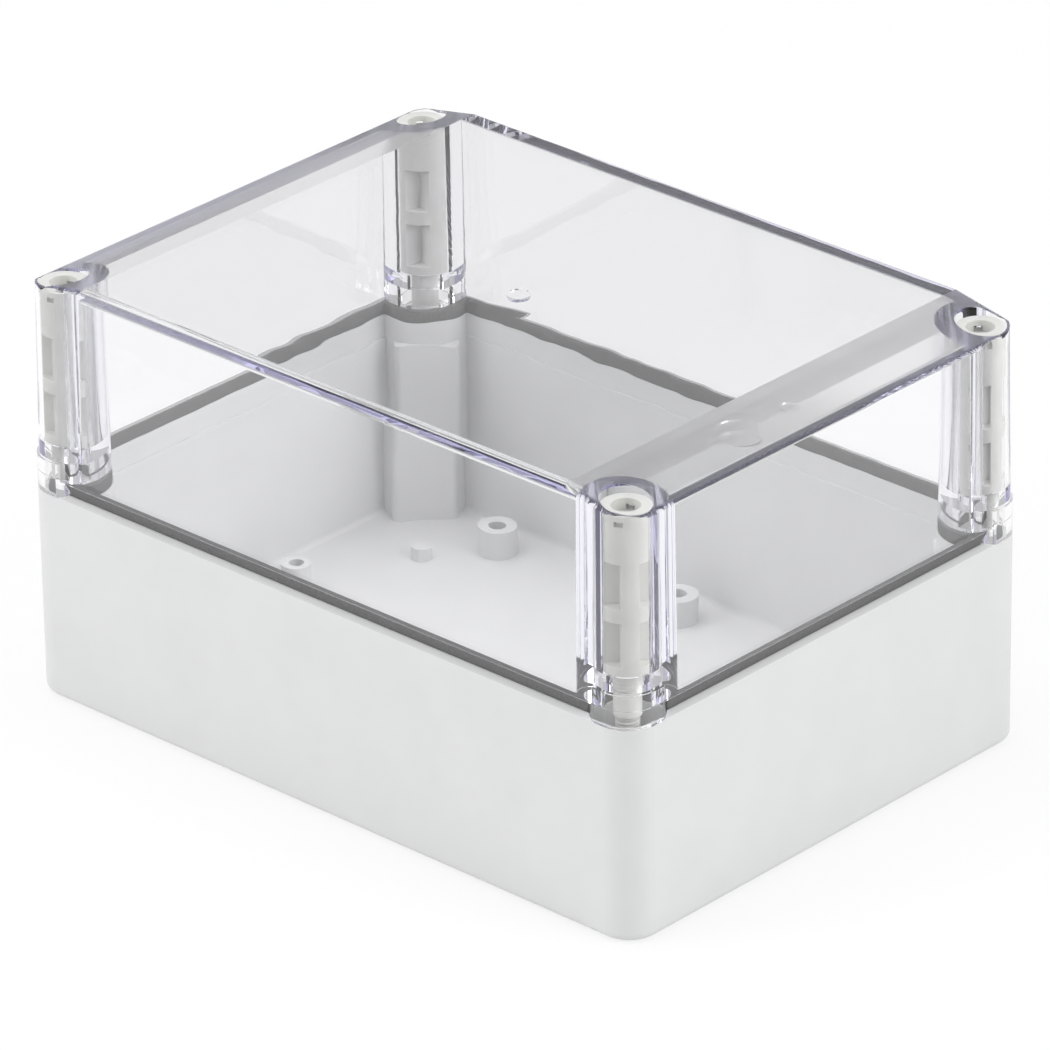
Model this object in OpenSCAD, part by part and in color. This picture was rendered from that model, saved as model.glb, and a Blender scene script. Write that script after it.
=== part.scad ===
// Wall-box enclosure: grey base tub, clear lid of the same height, rubber seal and four long corner screws.
// X runs along the length, Y along the width, Z up. The origin is at the middle of the underside.

/* [Overall size] */
// Length over the base
length = 175; // [150:1:220]
// Width over the base
width = 125; // [105:1:170]
// Height of the base up to its rim
base_h = 50; // [40:1:80]
// Height of the lid above that rim
lid_h = 50; // [44:1:80]

/* [Base] */
// Thickness of the floor
floor_t = 4; // [3:0.5:6]
// Radius of the outer bottom edge
bottom_edge_r = 2; // [1:0.1:2.4]
// Radius where the walls meet the floor inside
floor_fillet_r = 1.2; // [0.5:0.1:1.8]
// Depth of the thinner zone under the rim
rim_depth = 5.5; // [3:0.5:8]
// Width of the ledge where the wall gets thicker
rim_ledge = 0.4; // [0.2:0.1:0.6]
// Strip of rim left between the seal groove and the inside
rim_lip = 0.25; // [0.2:0.05:0.5]
// Width of the strip at the outside of the rim that slopes outwards
rim_slope_w = 1.3; // [0.6:0.1:1.5]
// How far that strip falls
rim_fall = 0.7; // [0.3:0.1:0.8]
// Half of the flat face on the inner side of a corner column
column_half_w = 7.3; // [6:0.1:8]
// How far that flat face stands in front of the round column
column_face_step = 0.15; // [0.1:0.05:0.5]
// Radius of the column's two upright edges
column_edge_r = 1.5; // [0.8:0.1:2.5]
// How far the top of a corner lies below the rim, for the foot of the lid
foot_drop = 0.9; // [0.8:0.1:3]
// Width of the ring that the foot stands on
ring_w = 2.2; // [1.8:0.1:3]
// Radius of the pocket inside that ring, round the screw
pocket_r = 7.2; // [6:0.1:7.4]
// Depth of that pocket
pocket_depth = 8; // [1:0.1:10]

/* [Floor bosses] */
// Diameter of a fixing boss
boss_d = 9.2; // [8:0.1:11]
// Hole of a fixing boss for a thread-forming screw
boss_hole_d = 4.2; // [3:0.1:5]
// Height of the bosses above the floor
boss_h = 6.5; // [4:0.5:12]
// Distance from the end of the base to the corner bosses
boss_end_inset = 37; // [32:0.5:45]
// Distance from the side of the base to the bosses
boss_side_inset = 15; // [13:0.5:20]
// Diameter of an end boss
end_boss_d = 6.6; // [6:0.1:8]
// Hole of an end boss
end_boss_hole_d = 3.4; // [2.5:0.1:4]
// Distance from the end of the base to the end bosses
end_boss_inset = 16; // [13:0.5:20]
// Distance between the two end bosses of a pair
end_boss_pitch = 10; // [9:0.5:16]
// Diameter of a locating pin
pin_d = 4.2; // [3:0.1:5]
// Height of a locating pin
pin_h = 3; // [2:0.5:5]
// Distance from the end of the base to the pins
pin_end_inset = 26.5; // [24:0.5:30]
// Distance from the side of the base to the pins
pin_side_inset = 28.5; // [26:0.5:34]

/* [Seal] */
// Distance from the outside of the base to the seal
seal_inset = 1.6; // [1.3:0.1:2]
// Width of the seal
seal_w = 1.9; // [1.6:0.1:2.3]
// Height of the seal that shows between base and lid
seal_gap = 3; // [2:0.5:4]
// Depth of the groove that holds the seal
groove_depth = 1.5; // [0.5:0.1:2]
// Play between the seal and each side of its groove
groove_play = 0.05; // [0.05:0.01:0.15]
// Gap left between the seal and the closed lid
seal_play = 0.05; // [0.05:0.01:0.15]

/* [Lid] */
// How far the lid walls stand back from the base walls at their lower edge
lid_inset = 0.4; // [0.2:0.1:0.8]
// How much further they stand back at the top
lid_taper = 0.8; // [0.4:0.1:1.2]
// Thickness of the lid walls
lid_wall = 3; // [2.4:0.1:3.4]
// Thickness of the top panel
lid_top_t = 3; // [2:0.1:4]
// Distance from the end of the base to the crease where the panel starts to slope
shoulder_w = 18.5; // [15:0.5:26]
// How far the panel has dropped at the ends
shoulder_drop = 3.3; // [1:0.1:4]
// How far the inner crease lies outside the outer one
inner_crease_shift = 8; // [4:0.1:9]
// Radius of the outer top edges
lid_edge_r = 1.5; // [0.5:0.1:2]
// Radius of the inner top edges
lid_inner_r = 3; // [1:0.1:5]
// Height above the rim to which the foot at each corner reaches
foot_h = 7; // [5:0.5:11]
// Thickness of a foot
foot_wall = 1.5; // [1.2:0.1:1.7]
// How far a foot reaches out past the round of its corner, along the walls
foot_reach = 0.45; // [0.2:0.05:0.8]
// Gap between a foot and the seal
foot_gap = 0.15; // [0.1:0.05:0.4]
// Gap left between a foot and the base
foot_play = 0.1; // [0.05:0.05:0.2]
// Diameter of the moulding gate stub under the middle of the panel
gate_d = 5; // [3:0.5:8]
// Height of the gate stub
gate_h = 0.8; // [0.2:0.1:1.5]
// Diameter of the larger ejector pad under the right-hand shoulder
large_pad_d = 10.2; // [8:0.1:11]
// Diameter of the smaller ejector pad under the same shoulder
small_pad_d = 4; // [3:0.1:6]
// Distance from the end of the base to the two pads
pad_inset = 10.5; // [10.2:0.1:12]
// Distance of the smaller pad from the middle of the shoulder, towards the front
small_pad_shift = 1.8; // [0:0.1:6]
// Distance between the two pads
pad_pitch = 15.7; // [13:0.1:20]
// How far the level face of a pad lies below the underside of the panel
pad_step = 0.3; // [0.1:0.05:0.5]

/* [Screws] */
// Diameter of the screw head
head_d = 10.8; // [9:0.1:12]
// Height of the screw head
head_h = 1.3; // [1:0.1:4]
// How far the head lies below the end of the lid
head_sink = 0; // [0:0.1:1]
// Diameter of the round socket in the head
socket_d = 6.2; // [4:0.1:7]
// Width of the two driver windows in the wall of the socket
slot_w = 1.9; // [1:0.1:2.5]
// Height of those windows, at the bottom of the socket
slot_h = 1.3; // [0.8:0.1:2]
// Diameter of the long shank
shank_d = 10.4; // [8.5:0.1:10.6]
// Plain length of shank below the head
plain_h = 9.7; // [4:0.1:12]
// Height of the solid band between the two rows of openings
band_h = 3.2; // [2:0.1:5]
// Height of the solid collar below the openings
collar_h = 1.9; // [1:0.1:6]
// Thickness of the cross-shaped web between the openings
web_t = 3.4; // [2:0.1:4.5]
// Diameter of the neck that passes through the lid
neck_d = 6; // [5:0.1:7]
// Diameter of the end that goes into the base
tip_d = 4.7; // [4:0.1:5.4]
// Length of the end that goes into the base
tip_len = 14; // [8:0.5:24]
// Play round the head in its bore
head_play = 0.15; // [0.1:0.05:0.4]
// Play round the neck and the end in their bores
neck_play = 0.3; // [0.2:0.05:0.5]
// Wall of the lid outside a screw bore, at the top
bore_wall = 0.55; // [0.4:0.05:2]
// Height above the rim of the shoulder that the shank stands on
seat_rise = 7; // [4:0.1:8]
// Thickness of that shoulder
seat_t = 3.5; // [2.5:0.5:5]
// Turn of the driver windows from the ribs of a screw
slot_turn = 64; // [0:1:180]
// Turn of each screw from its drawn position: front left, front right, back left, back right
screw_turns = [43, 51, 76, 75]; // [0:1:90]

/* [Hidden] */
$fn = 96;
// Smallest step used to let one cutting solid run past the face that it cuts
past = 1;
// How much larger the circle of a rounded lid edge is, so that it cuts the two faces cleanly
edge_swell = 1.02;
// Step that keeps the leaning corners and the sloping edges clear of the faces that they meet
clear_step = 0.01;
// Play under a screw shank on its seat
seat_play = 0.1;
// Bevel at the end of a screw
tip_bevel = 1;
// Spare depth of the screw bore in the base
bore_spare = 2;

bore_r = head_d / 2 + head_play;
corner_r = bore_r + bore_wall + lid_inset + lid_taper;
screw_x = length / 2 - corner_r;
screw_y = width / 2 - corner_r;

foot_r = corner_r + foot_reach;
seal_arc_r = foot_r + foot_gap;
seal_outer_r = seal_arc_r + seal_w;
seal_bottom = base_h - groove_depth;
seal_top = base_h + seal_gap;
rim_inset = seal_inset + seal_w + groove_play + rim_lip;
wall_inset = rim_inset + rim_ledge;
column_r = seal_outer_r + groove_play + rim_lip;
column_face = column_r + column_face_step;

corner_top = base_h - foot_drop;
lid_bottom = seal_top + seal_play;
top_z = base_h + lid_h;
end_z = top_z - shoulder_drop;
lean = lid_taper / (top_z - lid_bottom);
crease_x = length / 2 - shoulder_w;
slope = atan(shoulder_drop / (shoulder_w - lid_inset - lid_taper));
lid_inner_inset = lid_inset + lid_wall;
seat_bottom = base_h + seat_rise;
seat_z = seat_bottom + seat_t;

head_top = end_z - head_sink;
shank_bottom = seat_z + seat_play;
socket_bottom = head_top - head_h - slot_h;
opening_top = head_top - head_h - plain_h;
opening_h = (opening_top - band_h - collar_h - shank_bottom) / 2;
neck_r = neck_d / 2 + neck_play;
tip_r = tip_d / 2 + neck_play;

boss_x = length / 2 - boss_end_inset;
boss_y = width / 2 - boss_side_inset;
inner_crease_x = crease_x + inner_crease_shift;
inner_top_z = top_z - lid_top_t;
pad_x = length / 2 - pad_inset;
pad_z = inner_top_z - pad_step;

base_color = [0.86, 0.87, 0.87];
lid_color = [0.93, 0.94, 0.97, 0.35];
seal_color = [0.33, 0.33, 0.33];
screw_color = [0.93, 0.93, 0.9];

// Copies its children to the four screw axes.
module at_corners() {
    for (side_x = [-1, 1], side_y = [-1, 1])
        translate([side_x * screw_x, side_y * screw_y, 0])
            children();
}

// Plan of the enclosure, set in from the outside, with corners round the screw axes.
module plan(inset) {
    square([2 * screw_x, width - 2 * inset], center = true);
    square([length - 2 * inset, 2 * screw_y], center = true);
    at_corners()
        circle(r = corner_r - inset);
}

// Upright half section with a rounded lower outer edge.
module half_section(reach, height, edge_r) {
    translate([0, edge_r])
        square([reach, height - edge_r]);
    square([reach - edge_r, height]);
    translate([reach - edge_r, edge_r])
        circle(r = edge_r);
}

// Both halves of that section.
module full_section(reach, height, edge_r) {
    half_section(reach, height, edge_r);
    mirror([1, 0])
        half_section(reach, height, edge_r);
}

// Block on the plan, with its bottom edge rounded all the way round.
module rounded_block(inset, height, edge_r) {
    rotate([90, 0, 0])
        linear_extrude(2 * screw_y, center = true)
            full_section(length / 2 - inset, height, edge_r);
    rotate([90, 0, 90])
        linear_extrude(2 * screw_x, center = true)
            full_section(width / 2 - inset, height, edge_r);
    at_corners()
        rotate_extrude()
            intersection() {
                half_section(corner_r - inset, height, edge_r);
                square([corner_r, height]);
            }
}

// Plan of a band that follows the walls and passes inside the corner screws.
module seal_plan(play) {
    difference() {
        plan(seal_inset - play);
        at_corners()
            circle(r = seal_arc_r - play);
        difference() {
            plan(seal_inset + seal_w + play);
            at_corners()
                circle(r = seal_outer_r + play);
        }
    }
}

// Corner column of the base: round up to the rim, with a flat face lower down.
module base_column(side_x, side_y) {
    translate([side_x * screw_x, side_y * screw_y, floor_t / 2]) {
        cylinder(r = column_r, h = base_h - floor_t / 2);
        rotate([0, 0, atan2(-side_y, -side_x)])
            linear_extrude(base_h - rim_depth - floor_t / 2)
                column_plan();
    }
}

// Plan of the flat-faced part of a column, with two rounded upright edges.
module column_plan() {
    straight = column_face - column_edge_r;
    half = column_half_w - column_edge_r;
    translate([0, -column_half_w])
        square([straight, 2 * column_half_w]);
    translate([0, -half])
        square([column_face, 2 * half]);
    for (side = [-1, 1])
        translate([straight, side * half])
            circle(r = column_edge_r);
}

// Boss standing on the floor.
module floor_boss(x, y, diameter, height) {
    translate([x, y, floor_t / 2])
        cylinder(d = diameter, h = floor_t / 2 + height);
}

// Blind hole of such a boss, down to the floor.
module floor_boss_hole(x, y, diameter) {
    translate([x, y, floor_t])
        cylinder(d = diameter, h = boss_h + past);
}

// Wedges that let the rim of two opposite walls slope outwards, as long as a run along X.
module rim_wedges(run, reach) {
    pitch = rim_slope_w / rim_fall;
    rotate([90, 0, 90])
        linear_extrude(run, center = true)
            for (side = [0, 1])
                mirror([side, 0])
                    polygon([
                        [reach - rim_slope_w - past * pitch, base_h + past],
                        [reach + past, base_h + past],
                        [reach + past, base_h - rim_fall - past / pitch]
                    ]);
}

// Plan of the pockets round the screws, inside the rings for the feet.
module pocket_plan() {
    intersection() {
        plan(ring_w);
        at_corners()
            circle(r = pocket_r);
    }
}

module base_inside() {
    difference() {
        union() {
            translate([0, 0, floor_t])
                rounded_block(wall_inset, base_h - floor_t + past, floor_fillet_r);
            translate([0, 0, base_h - rim_depth])
                linear_extrude(rim_depth + past)
                    plan(rim_inset);
        }
        for (side_x = [-1, 1], side_y = [-1, 1])
            base_column(side_x, side_y);
    }
}

module base() {
    color(base_color)
        difference() {
            union() {
                difference() {
                    rounded_block(0, base_h, bottom_edge_r);
                    base_inside();
                }
                for (x = [-boss_x, 0, boss_x], y = [-boss_y, boss_y])
                    floor_boss(x, y, boss_d, boss_h);
                for (side_x = [-1, 1], side_y = [-1, 1]) {
                    floor_boss(
                        side_x * (length / 2 - end_boss_inset), side_y * end_boss_pitch / 2,
                        end_boss_d, boss_h
                    );
                    floor_boss(
                        side_x * (length / 2 - pin_end_inset), side_y * (width / 2 - pin_side_inset),
                        pin_d, pin_h
                    );
                }
            }
            for (x = [-boss_x, 0, boss_x], y = [-boss_y, boss_y])
                floor_boss_hole(x, y, boss_hole_d);
            for (side_x = [-1, 1], side_y = [-1, 1])
                floor_boss_hole(
                    side_x * (length / 2 - end_boss_inset), side_y * end_boss_pitch / 2, end_boss_hole_d
                );
            translate([0, 0, seal_bottom])
                linear_extrude(groove_depth + past)
                    seal_plan(groove_play);
            rim_wedges(2 * screw_x, width / 2);
            rotate([0, 0, 90])
                rim_wedges(2 * screw_y, length / 2);
            translate([0, 0, corner_top - pocket_depth])
                linear_extrude(pocket_depth + past)
                    pocket_plan();
            at_corners() {
                translate([0, 0, corner_top])
                    cylinder(r = seal_arc_r, h = foot_drop + past);
                translate([0, 0, base_h - tip_len - bore_spare])
                    cylinder(r = tip_r, h = tip_len + bore_spare + past);
            }
        }
}

module seal() {
    color(seal_color)
        translate([0, 0, seal_bottom])
            linear_extrude(seal_top - seal_bottom)
                seal_plan(0);
}

// Upright section whose sides lean inwards.
module leaning_section(reach, height) {
    top_reach = reach - height * lean;
    polygon([[-reach, 0], [reach, 0], [top_reach, height], [-top_reach, height]]);
}

// Block on the plan whose walls lean inwards, set in from the outside at its bottom.
module leaning_block(inset, height) {
    rotate([90, 0, 0])
        linear_extrude(2 * screw_y, center = true)
            leaning_section(length / 2 - inset, height);
    rotate([90, 0, 90])
        linear_extrude(2 * screw_x, center = true)
            leaning_section(width / 2 - inset, height);
    bottom_r = corner_r - inset - clear_step;
    at_corners()
        cylinder(r1 = bottom_r, r2 = bottom_r - height * lean, h = height);
}

// Section below a top at 0 with two rounded edges, open at the sides below them.
module edge_section(reach, depth, edge_r) {
    intersection() {
        translate([-reach - past, 0])
            square([2 * (reach + past), depth]);
        union() {
            translate([-reach - past, edge_r])
                square([2 * (reach + past), depth]);
            translate([edge_r - reach, -past])
                square([2 * (reach - edge_r), depth]);
            for (side = [-1, 1])
                translate([side * (reach - edge_r), edge_r])
                    circle(r = edge_r * edge_swell);
        }
    }
}

// Long run with that section: its top is at z = 0 and it reaches down by a depth.
module edge_run(inset, depth, edge_r) {
    rotate([180, 0, 0])
        rotate([90, 0, 90])
            linear_extrude(2 * length, center = true)
                edge_section(width / 2 - inset, depth, edge_r);
}

// The same run laid along the slope of the right-hand shoulder.
module shoulder_run(inset, depth, crease, crease_z, edge_r) {
    translate([crease, 0, crease_z])
        rotate([0, slope, 0])
            edge_run(inset, depth, edge_r);
}

// Side view that rounds the two ends of the lid and leaves its top to the runs.
module lid_ends(end_x, bottom_z, crease, crease_z, edge_r) {
    centre_x = end_x - edge_r;
    centre_z = crease_z - (centre_x - crease) * tan(slope) - edge_r / cos(slope);
    round_x = centre_x + edge_r * sin(slope);
    translate([-end_x - past, bottom_z])
        square([2 * (end_x + past), centre_z - bottom_z]);
    translate([-round_x, bottom_z])
        square([2 * round_x, crease_z - bottom_z + past]);
    for (side = [-1, 1])
        translate([side * centre_x, centre_z])
            circle(r = edge_r * edge_swell);
}

// Lid shape set in from the outside, with walls measured from the lid's lower edge.
module lid_form(inset, bottom_z, crease, crease_z, edge_r) {
    depth = crease_z - bottom_z + past;
    end_drop = (length / 2 - inset - lid_taper - crease) * tan(slope);
    edge_inset = inset + (crease_z - end_drop - edge_r - lid_bottom) * lean;
    intersection() {
        translate([0, 0, bottom_z])
            leaning_block(inset - (lid_bottom - bottom_z) * lean, depth);
        rotate([90, 0, 0])
            linear_extrude(width, center = true)
                lid_ends(length / 2 - edge_inset, bottom_z - past, crease, crease_z, edge_r);
        translate([0, 0, crease_z])
            edge_run(edge_inset, depth, edge_r);
        shoulder_run(edge_inset - clear_step, depth + length, crease, crease_z, edge_r);
        rotate([0, 0, 180])
            shoulder_run(edge_inset - clear_step, depth + length, crease, crease_z, edge_r);
    }
}

module lid_inside() {
    difference() {
        union() {
            lid_form(lid_inner_inset, lid_bottom - past, inner_crease_x, inner_top_z, lid_inner_r);
            at_pad(-small_pad_shift, pad_z - past)
                cylinder(d = small_pad_d, h = past);
            at_pad(-small_pad_shift - pad_pitch, pad_z - past)
                cylinder(d = large_pad_d, h = past);
        }
        at_corners()
            translate([0, 0, lid_bottom - 2 * past])
                cylinder(r = seal_outer_r, h = lid_h);
        at_pad(-small_pad_shift, pad_z)
            cylinder(d = small_pad_d, h = lid_h);
        at_pad(-small_pad_shift - pad_pitch, pad_z)
            cylinder(d = large_pad_d, h = lid_h);
        translate([0, 0, inner_top_z - gate_h])
            cylinder(d = gate_d, h = lid_h);
    }
}

// Puts its child on the axis of a round ejector pad, whose level face lies under the right-hand shoulder.
module at_pad(y, z) {
    translate([pad_x, y, z])
        children();
}

// Plan of the feet: strips of the outer wall round the corners, outside the seal.
module foot_plan() {
    difference() {
        intersection() {
            plan(0);
            at_corners()
                circle(r = foot_r);
        }
        plan(foot_wall);
    }
}

module lid() {
    color(lid_color)
        difference() {
            union() {
                difference() {
                    lid_form(lid_inset, lid_bottom, crease_x, top_z, lid_edge_r);
                    lid_inside();
                }
                translate([0, 0, corner_top + foot_play])
                    linear_extrude(base_h + foot_h - corner_top - foot_play)
                        foot_plan();
            }
            at_corners() {
                translate([0, 0, lid_bottom - past])
                    cylinder(r = bore_r, h = seat_bottom - lid_bottom + past);
                translate([0, 0, lid_bottom])
                    cylinder(r = neck_r, h = seat_z - lid_bottom + past);
                translate([0, 0, seat_z])
                    cylinder(r = bore_r, h = top_z - seat_z + past);
            }
        }
}

// Screw standing on its axis, with two rows of openings between four ribs.
module screw(side_x, side_y, turn) {
    translate([side_x * screw_x, side_y * screw_y, 0])
        rotate([0, 0, turn])
            difference() {
                union() {
                    translate([0, 0, head_top - head_h])
                        cylinder(d = head_d, h = head_h);
                    translate([0, 0, shank_bottom])
                        cylinder(d = shank_d, h = head_top - head_h - shank_bottom);
                    translate([0, 0, base_h])
                        cylinder(d = neck_d, h = shank_bottom - base_h);
                    translate([0, 0, base_h - tip_len + tip_bevel])
                        cylinder(d = tip_d, h = tip_len - tip_bevel);
                    translate([0, 0, base_h - tip_len])
                        cylinder(d1 = tip_d - 2 * tip_bevel, d2 = tip_d, h = tip_bevel);
                }
                translate([0, 0, socket_bottom])
                    cylinder(d = socket_d, h = head_h + slot_h + past);
                translate([0, 0, socket_bottom + slot_h / 2])
                    rotate([0, 0, slot_turn])
                        cube([head_d + past, slot_w, slot_h], center = true);
                for (row = [1, 2], quarter = [0 : 90 : 270])
                    rotate([0, 0, quarter])
                        translate([web_t / 2, web_t / 2, opening_top - row * opening_h - (row - 1) * band_h])
                            cube([shank_d, shank_d, opening_h]);
            }
}

module screw_front_left() {
    color(screw_color)
        screw(-1, -1, screw_turns[0]);
}

module screw_front_right() {
    color(screw_color)
        screw(1, -1, screw_turns[1]);
}

module screw_back_left() {
    color(screw_color)
        screw(-1, 1, screw_turns[2]);
}

module screw_back_right() {
    color(screw_color)
        screw(1, 1, screw_turns[3]);
}

base();
lid();
seal();
screw_front_left();
screw_front_right();
screw_back_left();
screw_back_right();
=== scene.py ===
"""Looks of the plastic enclosure: grey tub, clear lid, foam seal and milky screws, in a white studio."""

import math

import bpy
from mathutils import Matrix, Vector


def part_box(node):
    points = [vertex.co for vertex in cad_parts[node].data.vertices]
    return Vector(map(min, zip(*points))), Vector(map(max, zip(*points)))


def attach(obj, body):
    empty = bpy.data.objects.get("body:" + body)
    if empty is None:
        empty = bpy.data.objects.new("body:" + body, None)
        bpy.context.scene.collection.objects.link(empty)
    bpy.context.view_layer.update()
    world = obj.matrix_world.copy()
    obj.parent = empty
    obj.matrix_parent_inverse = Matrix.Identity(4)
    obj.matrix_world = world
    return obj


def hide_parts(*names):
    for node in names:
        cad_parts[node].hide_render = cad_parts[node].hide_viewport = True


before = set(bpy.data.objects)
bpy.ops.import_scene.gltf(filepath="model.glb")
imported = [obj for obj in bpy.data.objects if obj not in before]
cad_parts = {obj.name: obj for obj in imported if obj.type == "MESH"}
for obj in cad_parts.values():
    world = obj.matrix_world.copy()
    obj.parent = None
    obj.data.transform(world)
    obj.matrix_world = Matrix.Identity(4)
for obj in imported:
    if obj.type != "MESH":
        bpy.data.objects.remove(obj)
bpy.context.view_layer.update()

MM = 0.001
MICRONS_IN_METRE = 1e6
SCREWS = ["screw_front_left", "screw_front_right", "screw_back_left", "screw_back_right"]

# The camera of the photograph, in the frame's metres
CAMERA_AT = Vector((1.0872, -1.1613, 0.8450))
LOOK_AT = Vector((0.00193, -0.00114, 0.04573))
CAMERA_ROLL = math.radians(-0.857)
LENS_MM = 286.64
SENSOR_MM = 36.0
NEAR_CLIP = 0.05
FAR_CLIP = 50.0

# The studio, in metres, with shares and strengths of light
LAMP_AIM = Vector((0.0, 0.0, 0.05))
FLOOR_REACH = 4.0
FLOOR_LEVEL = -0.2 * MM
FLOOR_GLOW = 0.78
WORLD_FILL = 0.5
LIGHT_BOUNCES = 32

# Tones of the looks, darker and lighter
BASE_TONES = ((0.715, 0.717, 0.722), (0.735, 0.737, 0.742))
SEAL_TONES = ((0.12, 0.12, 0.12), (0.2, 0.2, 0.2))
SCREW_TONES = ((0.7, 0.7, 0.68), (0.75, 0.75, 0.73))
FLOOR_TONE = (0.92, 0.92, 0.92, 1.0)
LID_TINT = (0.84, 0.83, 0.96, 1.0)
WHITE = (1.0, 1.0, 1.0, 1.0)

# Values that a noise texture mostly stays between
NOISE_LOW = 0.3
NOISE_HIGH = 0.7

# The lid's sloping shoulders, in metres: where they start, how they fall, how satin they are, how much less
# they slope for the light, and how far under their outer face they count as satin
LID_TOP = 100 * MM
CREASE_X = 69 * MM
SHOULDER_FALL = 0.19075
SHOULDER_SATIN = 0.3
SHOULDER_EASE = 0.45
SHOULDER_SKIN = 0.15 * MM

# The soft swelling round the lid's gate, in metres
GATE_REACH = 12 * MM

# The lid's rounded inner edges, in metres: how far out and up the faces that they join would meet, and how
# far out they start. EDGE_SHARE is what is left of their radius.
SIDE_EDGE = (58.351 * MM, 97.0 * MM, 56.02 * MM)
END_EDGE = (83.372 * MM, 95.785 * MM, 81.57 * MM)
EDGE_SHARE = 0.3

# Where a rounded edge's faces lie round that meeting line, how much their normals may lean along it and have
# to lean up or down, and how many points each end of the edge has at least
EDGE_PAST = 0.1 * MM
EDGE_UNDER = 2.4 * MM
EDGE_OVER = 0.5 * MM
MOST_ALONG = 0.05
LEAST_UPRIGHT = 0.1
LEAST_RIM_POINTS = 3

# The lid's columns round the screws, in metres: how far off a point may lie and still count as on one, and
# how squarely a normal faces away from its axis
SCREW_X = 80.2 * MM
SCREW_Y = 55.2 * MM
COLUMN_R = 9.8 * MM
COLUMN_SLACK = 0.02 * MM
COLUMN_FACING = 0.99

# The ejector pad that bites into one edge, in metres
PAD_Y = -17.5 * MM
PAD_R = 5.1 * MM

# The foam strip in the rim, in metres: its faces in plan, the circles round the screws and its levels
SEAL_OUT = 1.6 * MM
SEAL_IN = 3.5 * MM
SEAL_ARC_OUT = 7.9 * MM
SEAL_ARC_IN = 9.8 * MM
SEAL_GAP = 0.05 * MM
SEAL_PRESS = 0.03 * MM
SEAL_BULGE = 0.1 * MM
SEAL_ROUND = 0.15 * MM
SEAL_TIP = 1.0 * MM
SEAL_TIP_STEPS = 4
SEAL_ARC_STEPS = 28
SEAL_LEVELS = 8
SEAL_SHARP = math.radians(40)

# How far the strip leans out at its top, how fast, and its lean inwards as shares of that
SEAL_FLARE = 1.0 * MM
SEAL_CURVE = 1.5
SEAL_TUCK_BACK = 0.45
SEAL_TUCK_LEFT = 1.1

# Screw thread, in metres: half its width as a share of the pitch, its land as a share of that half, the part
# of a turn over which it rises, its least height as a share, and its steps in a turn
THREAD_PITCH = 0.8 * MM
THREAD_ROOT = 2.3 * MM
THREAD_CREST = 2.6 * MM
THREAD_START = 1.0 * MM
THREAD_HALF = 0.42
THREAD_LAND = 0.25
THREAD_RISE = 0.5
THREAD_LEAST = 0.05
THREAD_STEPS = 40
RIDGE_CORNERS = 4


def new_material(name):
    """A material with a lone Principled shader, and that shader."""
    material = bpy.data.materials.new(name)
    material.use_nodes = True
    return material, material.node_tree.nodes["Principled BSDF"]


def new_piece(name, points, faces, material):
    """An object with a mesh of these points and faces, in the scene."""
    mesh = bpy.data.meshes.new(name)
    mesh.from_pydata(points, [], faces)
    mesh.update()
    mesh.materials.append(material)
    piece = bpy.data.objects.new(name, mesh)
    bpy.context.scene.collection.objects.link(piece)
    return piece


def noise(tree, feature, detail, roughness=0.55):
    """Noise in object space whose features are about this size in metres."""
    place = tree.nodes.new("ShaderNodeTexCoord")
    texture = tree.nodes.new("ShaderNodeTexNoise")
    texture.inputs["Scale"].default_value = 1.0 / feature
    texture.inputs["Detail"].default_value = detail
    texture.inputs["Roughness"].default_value = roughness
    tree.links.new(place.outputs["Object"], texture.inputs["Vector"])
    return texture.outputs["Fac"]


def spread(tree, value, low, high):
    """Maps a noise value's usual range to low and high."""
    node = tree.nodes.new("ShaderNodeMapRange")
    node.inputs["From Min"].default_value = NOISE_LOW
    node.inputs["From Max"].default_value = NOISE_HIGH
    node.inputs["To Min"].default_value = low
    node.inputs["To Max"].default_value = high
    tree.links.new(value, node.inputs["Value"])
    return node.outputs["Result"]


def tint(tree, value, tones):
    """A colour between two tones, by a noise value."""
    ramp = tree.nodes.new("ShaderNodeValToRGB")
    for stop, place, tone in zip(ramp.color_ramp.elements, (NOISE_LOW, NOISE_HIGH), tones):
        stop.position = place
        stop.color = (*tone, 1.0)
    tree.links.new(value, ramp.inputs["Fac"])
    return ramp.outputs["Color"]


def bump(tree, shader, height, depth, under=None):
    """Raises the surface by a height of 0 to 1 over this depth in metres, on another normal if given."""
    node = tree.nodes.new("ShaderNodeBump")
    node.inputs["Strength"].default_value = 1.0
    node.inputs["Distance"].default_value = depth
    tree.links.new(height, node.inputs["Height"])
    if under is not None:
        tree.links.new(under, node.inputs["Normal"])
    tree.links.new(node.outputs["Normal"], shader.inputs["Normal"])
    return node.outputs["Normal"]


def math_node(tree, operation, first, second=None, third=None):
    """A Math node on sockets or plain numbers, and its result."""
    node = tree.nodes.new("ShaderNodeMath")
    node.operation = operation
    for socket, value in zip(node.inputs, (first, second, third)):
        if isinstance(value, (int, float)):
            socket.default_value = value
        elif value is not None:
            tree.links.new(value, socket)
    return node.outputs["Value"]


def base_plastic():
    """Light grey moulded plastic with a fine spark-eroded grain."""
    material, shader = new_material("base_plastic_look")
    tree = material.node_tree
    cloud = noise(tree, feature=14 * MM, detail=2.0)
    grain = noise(tree, feature=0.35 * MM, detail=2.0, roughness=0.6)
    tree.links.new(tint(tree, cloud, BASE_TONES), shader.inputs["Base Color"])
    tree.links.new(spread(tree, grain, low=0.5, high=0.62), shader.inputs["Roughness"])
    bump(tree, shader, grain, depth=0.012 * MM)
    shader.inputs["Specular IOR Level"].default_value = 0.4
    return material


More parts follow.
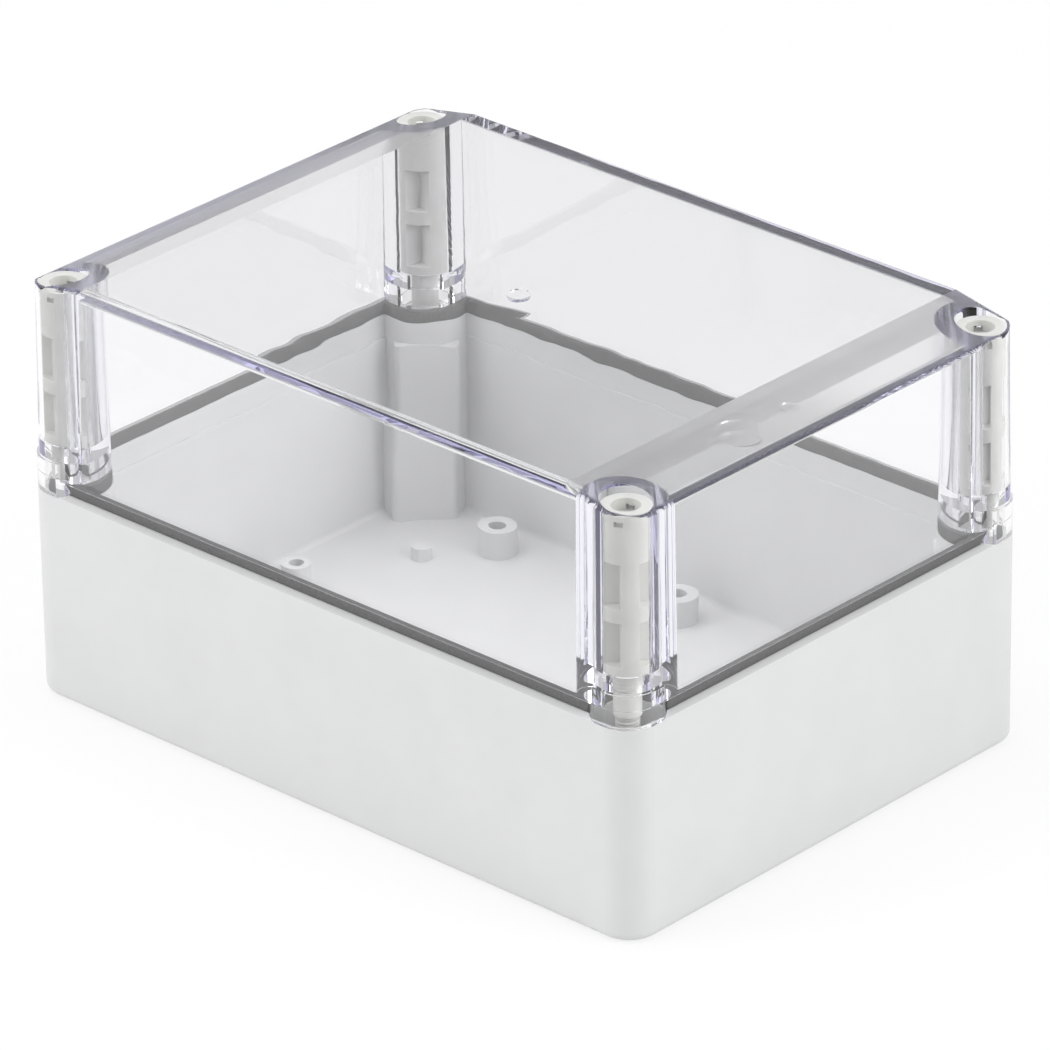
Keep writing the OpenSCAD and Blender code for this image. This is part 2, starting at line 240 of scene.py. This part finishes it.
def gate_swell(tree):
    """Height of the soft swelling round the gate in the middle of the panel, 1 at its centre."""
    place = tree.nodes.new("ShaderNodeTexCoord")
    flat = tree.nodes.new("ShaderNodeMapping")
    flat.inputs["Scale"].default_value = (1.0, 1.0, 0.0)
    reach = tree.nodes.new("ShaderNodeVectorMath")
    reach.operation = "LENGTH"
    tree.links.new(place.outputs["Object"], flat.inputs["Vector"])
    tree.links.new(flat.outputs["Vector"], reach.inputs[0])
    fall = tree.nodes.new("ShaderNodeMapRange")
    fall.interpolation_type = "SMOOTHSTEP"
    fall.inputs["From Min"].default_value = 0.0
    fall.inputs["From Max"].default_value = GATE_REACH
    fall.inputs["To Min"].default_value = 1.0
    fall.inputs["To Max"].default_value = 0.0
    tree.links.new(reach.outputs["Value"], fall.inputs["Value"])
    return fall.outputs["Result"]


def shoulder_mask(tree):
    """1 on the two sloping strips of the lid's top, 0 elsewhere."""
    place = tree.nodes.new("ShaderNodeTexCoord")
    split = tree.nodes.new("ShaderNodeSeparateXYZ")
    tree.links.new(place.outputs["Object"], split.inputs["Vector"])
    out = math_node(tree, "ABSOLUTE", split.outputs["X"])
    level = math_node(tree, "MULTIPLY_ADD", out, SHOULDER_FALL, split.outputs["Z"])
    strip_level = LID_TOP + SHOULDER_FALL * CREASE_X - SHOULDER_SKIN
    on_slope = math_node(tree, "GREATER_THAN", level, strip_level)
    past_crease = math_node(tree, "GREATER_THAN", out, CREASE_X)
    return math_node(tree, "MULTIPLY", on_slope, past_crease)


def eased_normal(tree, mask):
    """Normal that makes the masked strips refract as if they sloped less."""
    place = tree.nodes.new("ShaderNodeNewGeometry")
    share = tree.nodes.new("ShaderNodeCombineXYZ")
    tree.links.new(math_node(tree, "MULTIPLY_ADD", mask, -SHOULDER_EASE, 1.0), share.inputs["X"])
    share.inputs["Y"].default_value = 1.0
    share.inputs["Z"].default_value = 1.0
    scaled = tree.nodes.new("ShaderNodeVectorMath")
    scaled.operation = "MULTIPLY"
    tree.links.new(place.outputs["Normal"], scaled.inputs[0])
    tree.links.new(share.outputs["Vector"], scaled.inputs[1])
    unit = tree.nodes.new("ShaderNodeVectorMath")
    unit.operation = "NORMALIZE"
    tree.links.new(scaled.outputs["Vector"], unit.inputs[0])
    return unit.outputs["Vector"]


def clear_plastic():
    """Clear polycarbonate, faintly violet in its thickness, with slightly wavy faces and satin shoulders."""
    material, shader = new_material("clear_plastic_look")
    tree = material.node_tree
    shader.inputs["Base Color"].default_value = WHITE
    shader.inputs["IOR"].default_value = 1.58
    shader.inputs["Transmission Weight"].default_value = 1.0
    mask = shoulder_mask(tree)
    tree.links.new(math_node(tree, "MULTIPLY", mask, SHOULDER_SATIN), shader.inputs["Roughness"])
    ripple = noise(tree, feature=16 * MM, detail=1.0)
    waves = bump(tree, shader, ripple, depth=0.04 * MM, under=eased_normal(tree, mask))
    bump(tree, shader, gate_swell(tree), depth=0.12 * MM, under=waves)
    tinted = tree.nodes.new("ShaderNodeVolumeAbsorption")
    tinted.inputs["Color"].default_value = LID_TINT
    tinted.inputs["Density"].default_value = 20.0
    tree.links.new(tinted.outputs["Volume"], tree.nodes["Material Output"].inputs["Volume"])
    return material


def seal_rubber():
    """Dark grey closed-cell foam rubber."""
    material, shader = new_material("seal_rubber_look")
    tree = material.node_tree
    cells = noise(tree, feature=0.5 * MM, detail=4.0, roughness=0.65)
    tree.links.new(tint(tree, cells, SEAL_TONES), shader.inputs["Base Color"])
    tree.links.new(spread(tree, cells, low=0.75, high=0.95), shader.inputs["Roughness"])
    bump(tree, shader, cells, depth=0.06 * MM)
    shader.inputs["Specular IOR Level"].default_value = 0.3
    return material


def screw_plastic():
    """Milky off-white plastic that lets a little light in."""
    material, shader = new_material("screw_plastic_look")
    tree = material.node_tree
    cloud = noise(tree, feature=5 * MM, detail=2.0)
    grain = noise(tree, feature=0.6 * MM, detail=2.0)
    tree.links.new(tint(tree, cloud, SCREW_TONES), shader.inputs["Base Color"])
    tree.links.new(spread(tree, grain, low=0.32, high=0.45), shader.inputs["Roughness"])
    bump(tree, shader, grain, depth=0.008 * MM)
    shader.inputs["Subsurface Weight"].default_value = 0.25
    shader.inputs["Subsurface Radius"].default_value = (1.0, 1.0, 0.9)
    shader.inputs["Subsurface Scale"].default_value = 1.2 * MM
    return material


def dress(node, material):
    """Gives a CAD node its look."""
    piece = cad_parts[node]
    piece.data.materials.clear()
    piece.data.materials.append(material)


class InnerEdge:
    """One rounded inner edge under the lid's top, with its own axes: along it, out across it and up."""

    def __init__(self, at_end, side):
        self.at_end = at_end
        self.side = side
        self.meet_out, self.meet_up, self.start = END_EDGE if at_end else SIDE_EDGE
        self.screw = Vector((SCREW_Y, SCREW_X)) if at_end else Vector((SCREW_X, SCREW_Y))
        self.fall = SHOULDER_FALL if at_end else 0.0

    def to_edge(self, p):
        """A point or normal of the lid, in the edge's axes."""
        return Vector((p.y, self.side * p.x, p.z)) if self.at_end else Vector((p.x, self.side * p.y, p.z))

    def to_lid(self, p):
        """A point or normal in the edge's axes, as the lid's."""
        return Vector((self.side * p.y, p.x, p.z)) if self.at_end else Vector((p.x, self.side * p.y, p.z))

    def from_screw(self, p):
        """The level way to a point from the nearer screw's axis."""
        return Vector((p.x - math.copysign(self.screw.x, p.x), p.y - self.screw.y, 0.0))

    def is_near(self, p):
        """Whether a point lies where the rounding does."""
        between = abs(p.x) < self.screw.x and self.start < p.y < self.meet_out + EDGE_PAST
        return between and self.meet_up - EDGE_UNDER < p.z < self.meet_up + EDGE_OVER

    def is_on_column(self, p):
        """Whether a point lies on the round face of a column."""
        return abs(self.from_screw(p).length - COLUMN_R) < COLUMN_SLACK

    def is_on_pad(self, p):
        """Whether a point lies on the outline of the ejector pad that bites into one end edge."""
        return self.at_end and self.side > 0 and abs(p.x - PAD_Y) < PAD_R

    def shrunk(self, p):
        """A point where the rounding ends on a column, moved to the smaller rounding."""
        out = self.meet_out + EDGE_SHARE * (p.y - self.meet_out)
        up = self.meet_up + EDGE_SHARE * (p.z - self.meet_up)
        along = self.screw.x - math.sqrt(COLUMN_R ** 2 - (out - self.screw.y) ** 2)
        return Vector((math.copysign(along, p.x), out, up))

    def under_top(self, p):
        """A point moved straight up to the underside of the lid's top."""
        return Vector((p.x, p.y, self.meet_up + (self.meet_out - p.y) * self.fall))


def spot(p):
    """A point rounded to a micrometre, to find its copies in other faces."""
    return tuple(round(c * MICRONS_IN_METRE) for c in p)


def split_faces(edge, local, faces):
    """The faces that stay, and the normals at the points of the rounded edge's own faces."""
    kept = []
    normal_at = {}
    for ids, normals in faces:
        turned = [edge.to_edge(n) for n in normals]
        leans = all(abs(n.x) < MOST_ALONG and abs(n.z) > LEAST_UPRIGHT for n in turned)
        if leans and all(edge.is_near(local[i]) for i in ids):
            normal_at.update(zip(ids, turned))
        else:
            kept.append((ids, normals))
    return kept, normal_at


def edge_faces(rims, bite, local, normal_at, flat):
    """Faces of a smaller rounded edge between its two ends, each with its corners' normals."""
    first, last = rims
    faces = [([first[0], *bite, last[0], last[1], first[1]], [flat] * (len(bite) + 4))]
    i = j = 1
    while i < len(first) - 1 or j < len(last) - 1:
        left = local[first[i + 1]].y if i < len(first) - 1 else math.inf
        right = local[last[j + 1]].y if j < len(last) - 1 else math.inf
        ids = [first[i], last[j], first[i + 1] if left <= right else last[j + 1]]
        faces.append((ids, [normal_at[k] for k in ids]))
        i, j = (i + 1, j) if left <= right else (i, j + 1)
    return faces


def column_normals(edge, ids, normals, local, placed):
    """Normals of a face, turned where its points have moved round a column."""
    result = list(normals)
    for k, i in enumerate(ids):
        if placed[i] is not local[i]:
            facing = edge.to_edge(normals[k]).dot(edge.from_screw(local[i]).normalized())
            if abs(facing) > COLUMN_FACING:
                result[k] = edge.to_lid(edge.from_screw(placed[i]).normalized() * facing)
    return result


def sharpen_edge(points, faces, edge):
    """Makes one rounded edge smaller, between the columns at its ends. An unknown mesh stays as it is."""
    local = [edge.to_edge(p) for p in points]
    kept, normal_at = split_faces(edge, local, faces)
    on_column = {i for i in normal_at if edge.is_on_column(local[i])}
    rims = [[i for i in on_column if local[i].x * way > 0] for way in (-1, 1)]
    rims = [sorted(rim, key=lambda i: local[i].y) for rim in rims]
    bite = sorted(set(normal_at) - on_column, key=lambda i: local[i].x)
    known = all(edge.is_on_pad(local[i]) for i in bite)
    if not known or min(len(rim) for rim in rims) < LEAST_RIM_POINTS:
        return faces
    moved = {spot(local[i]): edge.shrunk(local[i]) for rim in rims for i in rim[1:]}
    moved.update({spot(local[i]): edge.under_top(local[i]) for i in bite})
    placed = [moved.get(spot(p), p) for p in local]
    result = [(ids, column_normals(edge, ids, normals, local, placed)) for ids, normals in kept]
    flat = Vector((0.0, -edge.fall, -1.0)).normalized()
    for ids, normals in edge_faces(rims, bite, local, normal_at, flat):
        a, b, c = (edge.to_lid(placed[i]) for i in (ids[0], ids[-2], ids[-1]))
        normals = [edge.to_lid(n) for n in normals]
        if (b - a).cross(c - a).dot(normals[0]) < 0:
            ids, normals = ids[::-1], normals[::-1]
        result.append((ids, normals))
    points[:] = [edge.to_lid(p) for p in placed]
    return result


def add_lid(material):
    """The clear lid with crisp inner edges under its top, which draw fine dark lines in the clear plastic."""
    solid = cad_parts["lid"].data
    points = [v.co.copy() for v in solid.vertices]
    normals = [n.vector.copy() for n in solid.corner_normals]
    faces = [(list(p.vertices), [normals[i] for i in p.loop_indices]) for p in solid.polygons]
    for at_end in (False, True):
        for side in (-1, 1):
            faces = sharpen_edge(points, faces, InnerEdge(at_end, side))
    piece = new_piece("clear_lid", points, [ids for ids, _ in faces], material)
    piece.data.polygons.foreach_set("use_smooth", [True] * len(faces))
    piece.data.normals_split_custom_set([n for _, corners in faces for n in corners])
    piece.visible_shadow = False
    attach(piece, "lid")
    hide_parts("lid")


def rounded(start, corner, end):
    """Points of a rounded corner, from just after its start to just before its end."""
    shares = [i / SEAL_TIP_STEPS for i in range(1, SEAL_TIP_STEPS)]
    return [start * (1 - t) ** 2 + corner * (2 * t * (1 - t)) + end * t ** 2 for t in shares]


def seal_corner(end_inset, side_inset, radius, half, axis):
    """Points of one face of the seal round the corner at +x +y, from the back wall to the end wall."""
    reach = half - Vector((end_inset, side_inset)) - axis
    first = Vector((-math.sqrt(radius ** 2 - reach.y ** 2), reach.y))
    last = Vector((reach.x, -math.sqrt(radius ** 2 - reach.x ** 2)))
    turn = SEAL_TIP / radius
    start = math.atan2(first.y, first.x) + turn
    sweep = math.atan2(last.y, last.x) + 2 * math.pi - turn - start
    angles = [start + sweep * i / SEAL_ARC_STEPS for i in range(SEAL_ARC_STEPS + 1)]
    arc = [Vector((radius * math.cos(a), radius * math.sin(a))) for a in angles]
    run_in = first - Vector((SEAL_TIP, 0.0))
    run_out = last - Vector((0.0, SEAL_TIP))
    bend_in = rounded(run_in, first, arc[0])
    bend_out = rounded(arc[-1], last, run_out)
    return [axis + p for p in (run_in, *bend_in, *arc, *bend_out, run_out)]


def seal_ring(inset, flare, radius, half, axis):
    """One face of the seal in plan. It leans out at the front and right, and in at the back and left."""
    near = inset - flare
    back = inset + flare * SEAL_TUCK_BACK
    left = inset + flare * SEAL_TUCK_LEFT
    back_right = seal_corner(near, back, radius, half, axis)
    front_right = seal_corner(near, near, radius, half, axis)
    front_left = seal_corner(left, near, radius, half, axis)
    back_left = seal_corner(left, back, radius, half, axis)
    ring = list(back_right)
    ring += [Vector((p.x, -p.y)) for p in reversed(front_right)]
    ring += [Vector((-p.x, -p.y)) for p in front_left]
    ring += [Vector((-p.x, p.y)) for p in reversed(back_left)]
    return ring


def seal_profile(low, rim, top):
    """The seal's upright faces from bottom to top: lean, swelling and level."""
    profile = [(0.0, -SEAL_ROUND, low), (0.0, 0.0, low + SEAL_ROUND), (0.0, 0.0, rim)]
    for i in range(1, SEAL_LEVELS):
        share = i / SEAL_LEVELS
        level = rim + (top - SEAL_ROUND - rim) * share
        profile.append((SEAL_FLARE * share ** SEAL_CURVE, SEAL_BULGE * math.sin(math.pi * share), level))
    return profile + [(SEAL_FLARE, 0.0, top - SEAL_ROUND), (SEAL_FLARE, -SEAL_ROUND, top)]


def add_seal(material):
    """Foam strip that lies in the rim's groove, swells above the base and is pressed flat by the lid."""
    low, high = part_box("seal")
    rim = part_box("base")[1].z
    half = Vector((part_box("base")[1].x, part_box("base")[1].y))
    screw_low, screw_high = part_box("screw_back_right")
    axis = Vector(((screw_low.x + screw_high.x) / 2, (screw_low.y + screw_high.y) / 2))
    profile = seal_profile(low.z, rim, high.z + SEAL_GAP + SEAL_PRESS)
    rings = []
    for flare, out, z in profile:
        rings.append((seal_ring(SEAL_OUT - out, flare, SEAL_ARC_OUT - out, half, axis), z))
    for _, out, z in reversed(profile):
        rings.append((seal_ring(SEAL_IN + out, 0.0, SEAL_ARC_IN + out, half, axis), z))
    count = len(rings[0][0])
    points = [(p.x, p.y, z) for ring, z in rings for p in ring]
    faces = []
    for k in range(len(rings)):
        a, b = k * count, (k + 1) % len(rings) * count
        for i in range(count):
            j = (i + 1) % count
            faces.append((a + i, b + i, b + j, a + j))
    piece = new_piece("seal_strip", points, faces, material)
    piece.data.polygons.foreach_set("use_smooth", [True] * len(faces))
    piece.data.set_sharp_from_angle(angle=SEAL_SHARP)
    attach(piece, "tub")
    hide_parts("seal")


def thread_ridge(bottom, top):
    """Points and faces of a thread's ridge that winds round z, from bottom to top."""
    count = int((top - bottom - THREAD_PITCH) / THREAD_PITCH * THREAD_STEPS)
    half = THREAD_PITCH * THREAD_HALF
    land = half * THREAD_LAND
    points = []
    for i in range(count + 1):
        turns = i / THREAD_STEPS
        turns_left = (count - i) / THREAD_STEPS
        angle = 2 * math.pi * turns
        z = bottom + THREAD_PITCH / 2 + THREAD_PITCH * turns
        risen = min(1.0, turns / THREAD_RISE, turns_left / THREAD_RISE)
        crest = THREAD_ROOT + (THREAD_CREST - THREAD_ROOT) * max(risen, THREAD_LEAST)
        outline = [(THREAD_ROOT, -half), (crest, -land), (crest, land), (THREAD_ROOT, half)]
        points += [(r * math.cos(angle), r * math.sin(angle), z + dz) for r, dz in outline]
    faces = []
    for i in range(count):
        for k in range(RIDGE_CORNERS):
            a = RIDGE_CORNERS * i + k
            b = RIDGE_CORNERS * i + (k + 1) % RIDGE_CORNERS
            faces.append((a, b, b + RIDGE_CORNERS, a + RIDGE_CORNERS))
    faces.append(tuple(reversed(range(RIDGE_CORNERS))))
    faces.append(tuple(RIDGE_CORNERS * count + k for k in range(RIDGE_CORNERS)))
    return points, faces


def add_thread(screw, material):
    """Thread round the end of one screw, riding on it."""
    low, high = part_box(screw)
    axis = (low + high) / 2
    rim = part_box("base")[1].z
    points, faces = thread_ridge(low.z + THREAD_START, rim)
    piece = new_piece(screw + "_thread", points, faces, material)
    piece.location = (axis.x, axis.y, 0.0)
    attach(piece, screw)


def add_camera():
    """Camera where the photograph was taken from."""
    data = bpy.data.cameras.new("camera")
    data.lens = LENS_MM
    data.sensor_width = SENSOR_MM
    data.clip_start = NEAR_CLIP
    data.clip_end = FAR_CLIP
    camera = bpy.data.objects.new("camera", data)
    look = (LOOK_AT - CAMERA_AT).to_track_quat("-Z", "Y").to_matrix()
    turned = look @ Matrix.Rotation(CAMERA_ROLL, 3, "Z")
    camera.matrix_world = Matrix.Translation(CAMERA_AT) @ turned.to_4x4()
    bpy.context.scene.collection.objects.link(camera)
    bpy.context.scene.camera = camera


def add_lamp(name, place, size, watts, in_glass=True):
    """Square softbox turned to the object. Outer faces don't mirror it, and clear plastic needn't show it."""
    data = bpy.data.lights.new(name, "AREA")
    data.shape = "SQUARE"
    data.size = size
    data.energy = watts
    lamp = bpy.data.objects.new(name, data)
    lamp.visible_glossy = False
    lamp.visible_transmission = in_glass
    turn = (LAMP_AIM - Vector(place)).to_track_quat("-Z", "Y").to_matrix().to_4x4()
    lamp.matrix_world = Matrix.Translation(place) @ turn
    bpy.context.scene.collection.objects.link(lamp)


def seen_rays(tree):
    """1 for the rays that show the floor: the camera's own, mirrored ones and those through clear plastic."""
    path = tree.nodes.new("ShaderNodeLightPath")
    direct = math_node(tree, "MAXIMUM", path.outputs["Is Camera Ray"], path.outputs["Is Glossy Ray"])
    return math_node(tree, "MAXIMUM", direct, path.outputs["Is Transmission Ray"])


def floor_white():
    """White that mostly glows by itself where it is seen, so that it keeps only a faint shadow."""
    material, shader = new_material("floor_look")
    tree = material.node_tree
    shader.inputs["Base Color"].default_value = FLOOR_TONE
    shader.inputs["Roughness"].default_value = 0.9
    shader.inputs["Specular IOR Level"].default_value = 0.0
    glow = tree.nodes.new("ShaderNodeEmission")
    glow.inputs["Strength"].default_value = 1.0
    mix = tree.nodes.new("ShaderNodeMixShader")
    tree.links.new(math_node(tree, "MULTIPLY", seen_rays(tree), FLOOR_GLOW), mix.inputs["Fac"])
    tree.links.new(shader.outputs["BSDF"], mix.inputs[1])
    tree.links.new(glow.outputs["Emission"], mix.inputs[2])
    tree.links.new(mix.outputs["Shader"], tree.nodes["Material Output"].inputs["Surface"])
    return material


def add_floor():
    """White floor, a hair below the object."""
    corners = ((-1, -1), (1, -1), (1, 1), (-1, 1))
    points = [(x * FLOOR_REACH, y * FLOOR_REACH, FLOOR_LEVEL) for x, y in corners]
    new_piece("floor", points, [(0, 1, 2, 3)], floor_white())


def add_world():
    """Soft even light from all round."""
    world = bpy.data.worlds.new("studio")
    bpy.context.scene.world = world
    world.use_nodes = True
    fill = world.node_tree.nodes["Background"]
    fill.inputs["Color"].default_value = WHITE
    fill.inputs["Strength"].default_value = WORLD_FILL


base_look = base_plastic()
lid_look = clear_plastic()
seal_look = seal_rubber()
screw_look = screw_plastic()

dress("base", base_look)
add_lid(lid_look)
add_seal(seal_look)
for screw in SCREWS:
    dress(screw, screw_look)
    add_thread(screw, screw_look)

add_floor()
add_world()
add_lamp("top_softbox", place=(-0.25, -0.05, 1.6), size=1.4, watts=10.6)
add_lamp("right_softbox", place=(1.51, 0.56, 0.9), size=1.0, watts=13.1)
add_lamp("left_softbox", place=(-0.95, -1.35, 0.8), size=1.0, watts=11.8, in_glass=False)
add_camera()

view = bpy.context.scene.view_settings
view.view_transform = "Standard"
paths = bpy.context.scene.cycles
paths.max_bounces = LIGHT_BOUNCES
paths.glossy_bounces = LIGHT_BOUNCES
paths.transmission_bounces = LIGHT_BOUNCES
